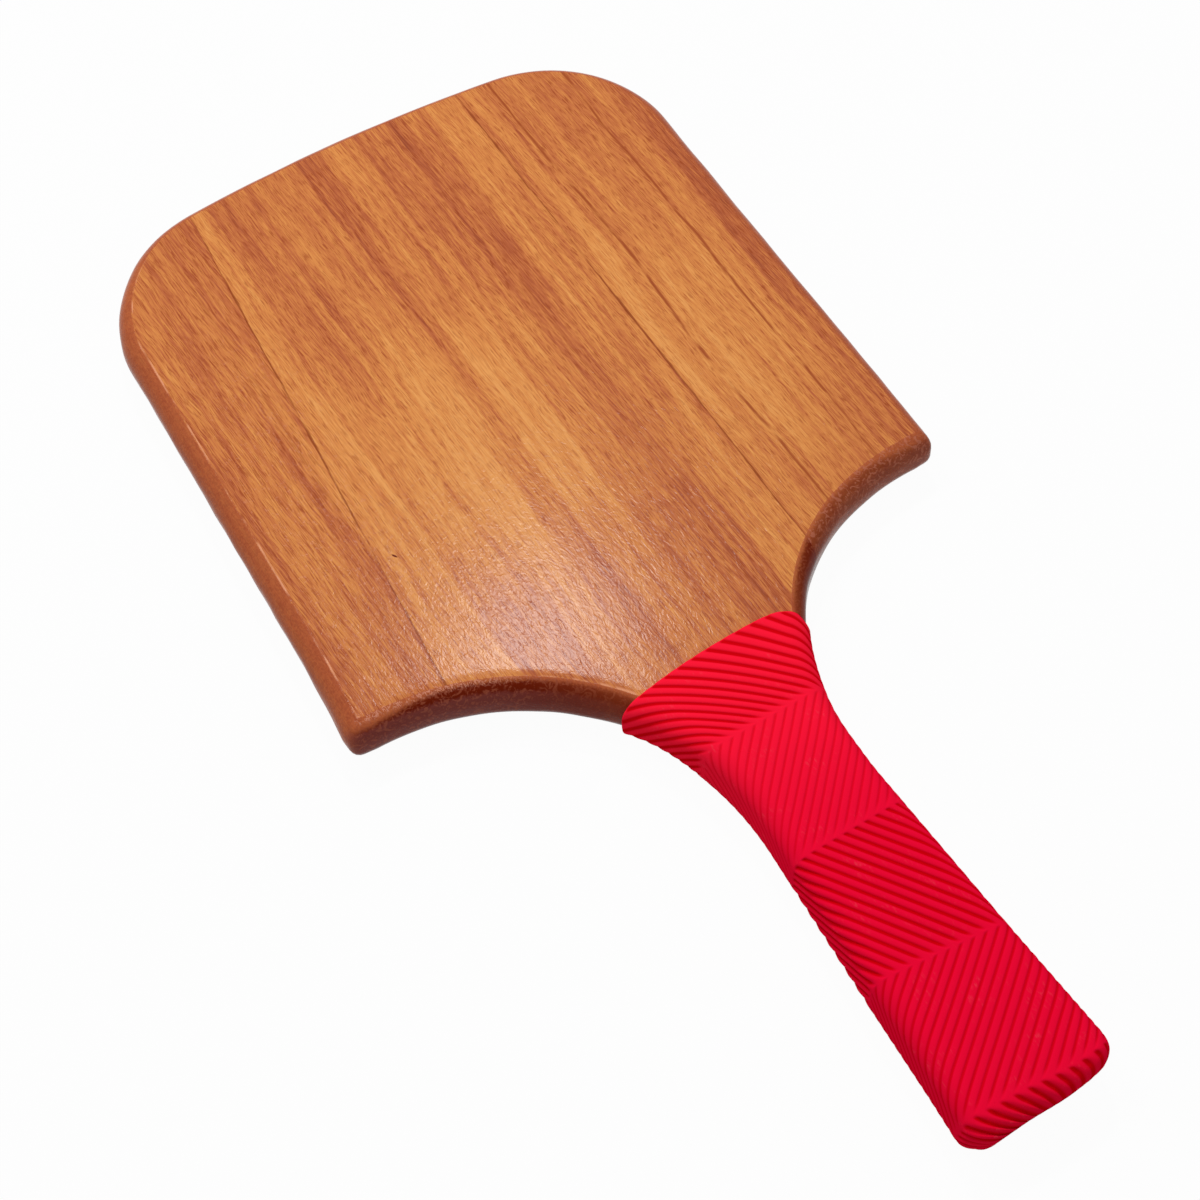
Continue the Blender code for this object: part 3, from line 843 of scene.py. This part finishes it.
class Wood(Finish):
    """Lacquered hardwood. Each board's pattern is cut from another place, so no two boards match."""

    def __init__(self, name, shift):
        super().__init__(name)
        self.x, self.y, _ = self.split(self.millimetres())
        self.cut = self.millimetres(shift)
        self.cut_x, self.cut_y, self.cut_z = self.split(self.cut)
        self.wander = self.noise(self.cut, WANDER_SIZE)
        self.band_x = self.varied(self.x, self.wander, BAND_WANDER)
        sway = self.noise(self.cut, SWAY_SIZE)
        slant = self.maths("MULTIPLY_ADD", self.cut_y, FIBRE_SLANT, self.cut_x)
        fibre_x = self.maths("MULTIPLY_ADD", sway, FIBRE_SWAY, slant)
        self.along_fibres = self.join(fibre_x, self.cut_y, self.cut_z)
        self.broken = self.noise(self.cut, BREAK_SIZE)
        self.ripple = self.noise(self.cut, RIPPLE_SIZE, distortion=1.6)
        self.foot = self.kept("foot")
        rounded = self.kept("rounded")
        self.uneven = self.varied(rounded, self.ripple, 0.24)
        edge = self.maths("MULTIPLY_ADD", self.foot, 0.04, self.uneven)
        # Rims and walls from just past the arris, for their darker stain and their painted shade.
        self.stained_and_shaded = self.times(self.between(edge, 0.005, 0.06), self.between(rounded, 0.0, 0.02))
        self.colour = None

    def paint(self, share, colour, strength=1.0):
        """Lays a colour over the wood where the share says, and as strongly as it is told."""
        self.colour = self.mix(self.times(share, strength), self.colour, colour)

    def grain(self, tones, patch):
        """Long tonal bands with streaks and clouds in them, and fine slanting fibres and pores.

        tones gives places across the bat, in millimetres, and how pale the wood is there, from 0 to 1.
        patch gives X, half width and strength of the paler patch towards the foot.
        """
        low, high = tones[0][0], tones[-1][0]
        across = self.maths("DIVIDE", self.maths("SUBTRACT", self.band_x, low), high - low, clamp=True)
        tone = self.ramp(across, [((place - low) / (high - low), pale) for place, pale in tones], "EASE")

        patch_x, patch_width, paler = patch
        in_patch = self.between(self.from_place(self.band_x, patch_x), patch_width, patch_width * 0.3)
        in_patch = self.times(in_patch, self.between(self.y, *PATCH_FROM_TOP))
        in_patch = self.times(in_patch, self.between(self.y, *PATCH_FROM_FOOT))
        tone = self.maths("MULTIPLY_ADD", in_patch, paler, tone)

        streak_x = self.maths("MULTIPLY_ADD", self.wander, BAND_WANDER, self.cut_x)
        along_bands = self.join(streak_x, self.cut_y, self.cut_z)
        tone = self.varied(tone, self.noise(along_bands, STREAK_SIZE, detail=3.0), STREAK_CONTRAST)
        tone = self.varied(tone, self.noise(along_bands, CLOUD_SIZE, detail=3.0), CLOUD_CONTRAST)
        pore_rich = self.maths("SUBTRACT", 1.15, self.times(tone, 0.5))
        tone = self.varied(tone, self.noise(self.along_fibres, FIBRE_SIZE, roughness=0.6), FIBRE_CONTRAST)
        self.colour = self.ramp(self.maths("MULTIPLY_ADD", tone, 0.5, 0.25),
                                [(0.0, DARK_FIBRE), (0.25, RED_BROWN), (0.475, TAN), (0.75, HONEY),
                                 (1.0, PALE_FIBRE)], "LINEAR")
        pores = self.between(self.noise(self.along_fibres, PORE_SIZE, detail=1.0), 0.55, 0.62)
        self.paint(self.times(pores, pore_rich), PORE, 0.76)

    def growth_lines(self, lines):
        """Dark growth lines, broken here and there: X, half width and strength of each."""
        for line_x, half_width, strength in lines:
            on_line = self.between(self.from_place(self.band_x, line_x), half_width, half_width * 0.2)
            self.paint(self.times(on_line, self.between(self.broken, 0.30, 0.54)), PORE, strength)

    def glue_lines(self, seams):
        """Ragged glue lines: X at the middle of the bat, lean, half width and strength of each."""
        ragged = self.varied(self.x, self.broken, 1.1)
        pieces = self.between(self.noise(self.cut, GLUE_BREAK_SIZE), 0.44, 0.56)
        strong = self.maths("MULTIPLY_ADD", pieces, 0.75, 0.25)
        for middle_x, lean, half_width, strength in seams:
            upright = self.maths("MULTIPLY_ADD", self.y, -lean, ragged)
            on_seam = self.between(self.from_place(upright, middle_x), half_width, half_width * 0.3)
            self.paint(self.times(on_seam, strong), GLUE, strength)

    def pits(self, places):
        """Small slanting pits: X and Y of each."""
        for pit_x, pit_y in places:
            ahead = self.maths("SUBTRACT", self.y, pit_y)
            aside = self.maths("MULTIPLY_ADD", ahead, 0.5, self.maths("SUBTRACT", self.x, pit_x))
            away = self.maths("MULTIPLY_ADD", self.times(ahead, ahead), 0.18, self.times(aside, aside))
            self.paint(self.between(away, 0.22, 0.06), BURNT_END)

    def rims(self, charred):
        """Darker stain with painted shade in the rounded rims and walls, the foot's end grain scorched by the
        router with a painted sheen on its walls, pale swirl lines with painted highlights, painted glints
        along the foot's rim, rims darker towards the sleeve, and painted highlights along the arrises on the
        left.

        charred gives how dark the end grain is scorched, from 0 to 1.
        """
        # Darker stain in the rims and walls, and painted shade on them where they turn away from the light.
        self.paint(self.stained_and_shaded, self.mix(self.between(self.ripple, 0.35, 0.65), EDGE_STAIN_AND_SHADE, EDGE_GLOW), 0.80)

        swirl = self.noise(self.cut, SWIRL_SIZE, detail=3.0, distortion=2.4)
        near_corner = self.between(self.maths("ABSOLUTE", self.x), *FOOT_CORNERS)
        scorch = self.varied(self.maths("MULTIPLY_ADD", near_corner, -0.30, self.uneven), swirl, 0.30)
        # The foot's rims take the scorched end grain colour, and its walls the end grain's colour with a
        # painted grey sheen of the pale surroundings.
        burnt_end_and_sheen = self.mix(self.between(self.uneven, 0.40, 0.60), BURNT_END, END_GRAIN_AND_SHEEN)
        burnt_end_and_sheen = self.mix(self.times(self.between(swirl, 0.50, 0.62), 0.25), burnt_end_and_sheen, EDGE_GLOW)
        self.paint(self.times(self.between(scorch, 0.02, 0.24), self.foot), burnt_end_and_sheen, charred)
        # Pale swirl lines in the end grain, partly painted highlights on the lacquer's ripples, strongest on
        # the less charred board.
        swirl_lines_and_highlights = self.times(self.times(self.foot, self.stained_and_shaded), self.between(swirl, 0.52, 0.60))
        self.paint(swirl_lines_and_highlights, PALE_SWIRL_AND_HIGHLIGHT, 0.60 * (1.2 - charred))

        # Painted glints: broken pale pink strokes along the foot's rim on the left, where the face rolls
        # over.
        glint_strokes = self.noise(self.cut, GLINT_STROKE_SIZE, distortion=1.8)
        raised = self.times(self.between(glint_strokes, 0.48, 0.58), self.between(self.x, *LEFT_OF_FOOT))
        on_rim = self.times(self.between(self.uneven, 0.0, 0.05), self.between(self.uneven, 0.30, 0.12))
        self.paint(self.times(self.times(raised, on_rim), self.foot), PAINTED_GLINT, 0.55)

        # The rims and walls turn darker towards the sleeve, in the colour of scorched end grain.
        by_sleeve = self.times(self.between(self.y, *BY_SLEEVE), self.between(self.uneven, 0.10, 0.45))
        self.paint(by_sleeve, BURNT_END, 0.55)
        # Painted highlight: a broken pale line along the arris on the left side.
        wear_and_highlight = self.times(self.between(self.kept("arris"), 0.45, 0.75), self.between(self.broken, 0.45, 0.60))
        self.paint(wear_and_highlight, PAINTED_ARRIS_HIGHLIGHT, 0.90)

    def lacquer(self):
        """The colour under a thin coat that has dried a little uneven, more so on the darker rims."""
        self.set(self.shader.inputs["Base Color"], self.colour)
        self.shader.inputs["Roughness"].default_value = LACQUER_ROUGHNESS
        self.shader.inputs["Specular IOR Level"].default_value = LACQUER_SHINE
        peel = self.noise(self.along_fibres, PEEL_SIZE, detail=1.0, distortion=1.4)
        height = self.maths("MULTIPLY_ADD", self.times(self.ripple, self.stained_and_shaded), 2.0, peel)
        self.bump(height, LACQUER_RELIEF)


def board_wood(name, shift, tones, patch, lines, seams, pits=(), charred=1.0):
    """The finish of one board, from how its own face looks."""
    wood = Wood(name, shift)
    wood.grain(tones, patch)
    wood.growth_lines(lines)
    wood.glue_lines(seams)
    wood.pits(pits)
    wood.rims(charred)
    wood.lacquer()
    return wood.material


LEFT_SEAM_RISE = (LEFT_SEAM_AT_TOP - LEFT_SEAM_AT_FOOT) / (HALF_LENGTH - BLADE_FOOT)
LEFT_SEAM_MIDDLE = (LEFT_SEAM_AT_FOOT - LEFT_SEAM_RISE * BLADE_FOOT) * 1000
LEFT_GLUE = (LEFT_SEAM_MIDDLE, LEFT_SEAM_RISE, 0.45, 0.75)
RIGHT_GLUE = (RIGHT_SEAM * 1000, 0.0, 0.55, 0.75)


def left_wood():
    tones = [(-101.0, 0.20), (-93.0, 0.35), (-87.0, 0.55), (-78.0, 0.52), (-72.0, 0.40), (-66.0, 0.42),
             (-60.0, 0.34), (-54.0, 0.15)]
    return board_wood("left board wood", (310.0, 120.0, 40.0), tones, patch=(-50.0, 30.0, 0.15),
                      lines=[(-67.0, 0.7, 0.35)], seams=[LEFT_GLUE])


def centre_wood():
    tones = [(-72.0, 0.85), (-52.0, 0.85), (-48.0, 0.36), (-43.0, 0.36), (-34.0, 0.40), (-25.0, 0.68),
             (-16.0, 0.45), (-11.5, 0.08), (-4.0, 0.62), (5.0, 0.52), (10.0, 0.30), (15.0, 0.35),
             (21.0, 0.12), (29.5, 0.30), (32.5, 0.85), (38.5, 0.75), (42.0, 0.78), (46.0, 0.60)]
    return board_wood("centre board wood", (0.0, 0.0, 0.0), tones, patch=(-16.0, 56.0, 0.60),
                      lines=[(22.5, 0.5, 0.25)], seams=[LEFT_GLUE, RIGHT_GLUE], pits=[(-61.7, 39.0)])


def right_wood():
    tones = [(45.0, 0.55), (51.0, 0.80), (56.0, 0.45), (60.0, 0.42), (64.0, 0.72), (71.0, 0.46),
             (78.0, 0.42), (83.5, 0.50), (90.0, 0.36), (92.5, 0.02), (101.0, 0.0)]
    return board_wood("right board wood", (-520.0, 260.0, 90.0), tones, patch=(55.0, 50.0, 0.40),
                      lines=[(57.8, 0.8, 0.90), (80.8, 0.7, 0.85)], seams=[RIGHT_GLUE], charred=0.5)


RUBBER_RED = (0.845, 0.003, 0.034)
PAINTED_LIGHT_RED = (0.985, 0.010, 0.038)
GROOVE_SHADE_RED = (0.600, 0.000, 0.001)
SCUFFED_RED = (0.850, 0.075, 0.110)
SCUFF_PATCH_SIZE = (7.0, 9.0, 7.0)
SCUFF_SIZE = (0.8, 3.0, 0.8)
PAINTED_LIGHT_FROM = (-125.0, -40.0)
RUBBER_ROUGHNESS = 0.60


def red_rubber():
    """Moulded red rubber, painted paler towards the top of the sleeve for light falling off towards the butt,
    with painted shade in its grooves and scuffed rib edges.
    """
    finish = Finish("red rubber")
    place = finish.millimetres()
    y = finish.split(place)[1]
    # Painted light: paler towards the top of the sleeve, darker towards the butt.
    colour = finish.mix(finish.between(y, *PAINTED_LIGHT_FROM), RUBBER_RED, PAINTED_LIGHT_RED)
    groove = finish.kept("groove")
    # Painted shade: the grooves darken with their depth.
    colour = finish.mix(finish.times(finish.between(groove, 0.1, 0.9), 0.90), colour, GROOVE_SHADE_RED)
    # Scuffs in patches on the rib crests; on the rubber these marks are wear only.
    patches = finish.between(finish.noise(place, SCUFF_PATCH_SIZE), 0.50, 0.70)
    scuff = finish.between(finish.noise(place, SCUFF_SIZE, detail=3.0, roughness=0.7), 0.50, 0.75)
    wear_and_highlight = finish.times(finish.times(patches, scuff), finish.between(groove, 0.35, 0.05))
    colour = finish.mix(finish.times(wear_and_highlight, 0.35), colour, SCUFFED_RED)
    finish.set(finish.shader.inputs["Base Color"], colour)
    finish.shader.inputs["Roughness"].default_value = RUBBER_ROUGHNESS
    finish.shader.inputs["Specular IOR Level"].default_value = 0.0
    return finish.material


# Floor, light and camera

FLOOR_HALF_SIZE = 6.0
FLOOR_DROP = 0.0002
FLOOR_GREY = (0.60, 0.60, 0.60, 1.0)
FLOOR_ROUGHNESS = 0.90
FLOOR_GLOW = 0.965
WHITE = (1.0, 1.0, 1.0, 1.0)
STUDIO_LIGHT = 0.465


def make_floor():
    shape = bmesh.new()
    bmesh.ops.create_grid(shape, x_segments=1, y_segments=1, size=FLOOR_HALF_SIZE)
    mesh = bpy.data.meshes.new("floor")
    shape.to_mesh(mesh)
    shape.free()
    floor = bpy.data.objects.new("floor", mesh)
    floor.location.z = CAD_LOW.z - FLOOR_DROP
    bpy.context.scene.collection.objects.link(floor)
    finish = Finish("pale floor")
    nodes, links = finish.tree.nodes, finish.tree.links
    finish.shader.inputs["Base Color"].default_value = FLOOR_GREY
    finish.shader.inputs["Roughness"].default_value = FLOOR_ROUGHNESS
    finish.shader.inputs["Specular IOR Level"].default_value = 0.0
    light_path = nodes.new("ShaderNodeLightPath")
    glow = nodes.new("ShaderNodeEmission")
    glow.inputs["Color"].default_value = WHITE
    seen = finish.maths("ADD", light_path.outputs["Is Camera Ray"], light_path.outputs["Is Glossy Ray"])
    seen = finish.maths("ADD", seen, light_path.outputs["Is Transmission Ray"], clamp=True)
    blend = nodes.new("ShaderNodeMixShader")
    finish.set(blend.inputs["Fac"], finish.times(seen, FLOOR_GLOW))
    links.new(finish.shader.outputs["BSDF"], blend.inputs[1])
    links.new(glow.outputs["Emission"], blend.inputs[2])
    links.new(blend.outputs["Shader"], nodes["Material Output"].inputs["Surface"])
    mesh.materials.append(finish.material)


def add_lamp(name, place, aim, size, power):
    data = bpy.data.lights.new(name, "AREA")
    data.shape = "DISK"
    data.size = size
    data.energy = power
    lamp = bpy.data.objects.new(name, data)
    lamp.location = place
    lamp.rotation_euler = (Vector(aim) - Vector(place)).to_track_quat("-Z", "Y").to_euler()
    bpy.context.scene.collection.objects.link(lamp)


def make_light():
    world = bpy.data.worlds.new("studio")
    world.use_nodes = True
    world.node_tree.nodes["Background"].inputs["Color"].default_value = WHITE
    world.node_tree.nodes["Background"].inputs["Strength"].default_value = STUDIO_LIGHT
    bpy.context.scene.world = world
    add_lamp("key softbox", place=(0.2666, 0.628, 1.15), aim=(-0.02, 0.05, 0.0175), size=0.127, power=5.9)
    add_lamp("softbox behind", place=(-0.375, 0.68, 1.32), aim=(0.0, 0.08, 0.0175), size=0.30, power=6.1)


CAMERA_PLACE = (-0.20632, -0.35489, 0.61891)
CAMERA_AZIMUTH = -28.396
CAMERA_ELEVATION = 56.646
CAMERA_ROLL = -2.987
CAMERA_LENS = 74.01
SENSOR_WIDTH = 36.0


def make_camera():
    data = bpy.data.cameras.new("camera")
    data.lens = CAMERA_LENS
    data.sensor_width = SENSOR_WIDTH
    data.sensor_fit = "HORIZONTAL"
    data.clip_start = 0.01
    camera = bpy.data.objects.new("camera", data)
    camera.matrix_world = (Matrix.Translation(CAMERA_PLACE)
                           @ Matrix.Rotation(radians(CAMERA_AZIMUTH), 4, "Z")
                           @ Matrix.Rotation(radians(90.0 - CAMERA_ELEVATION), 4, "X")
                           @ Matrix.Rotation(radians(CAMERA_ROLL), 4, "Z"))
    bpy.context.scene.collection.objects.link(camera)
    bpy.context.scene.camera = camera


make_camera()
make_boards()
make_sleeve()
make_floor()
make_light()
bpy.context.scene.view_settings.view_transform = "Standard"
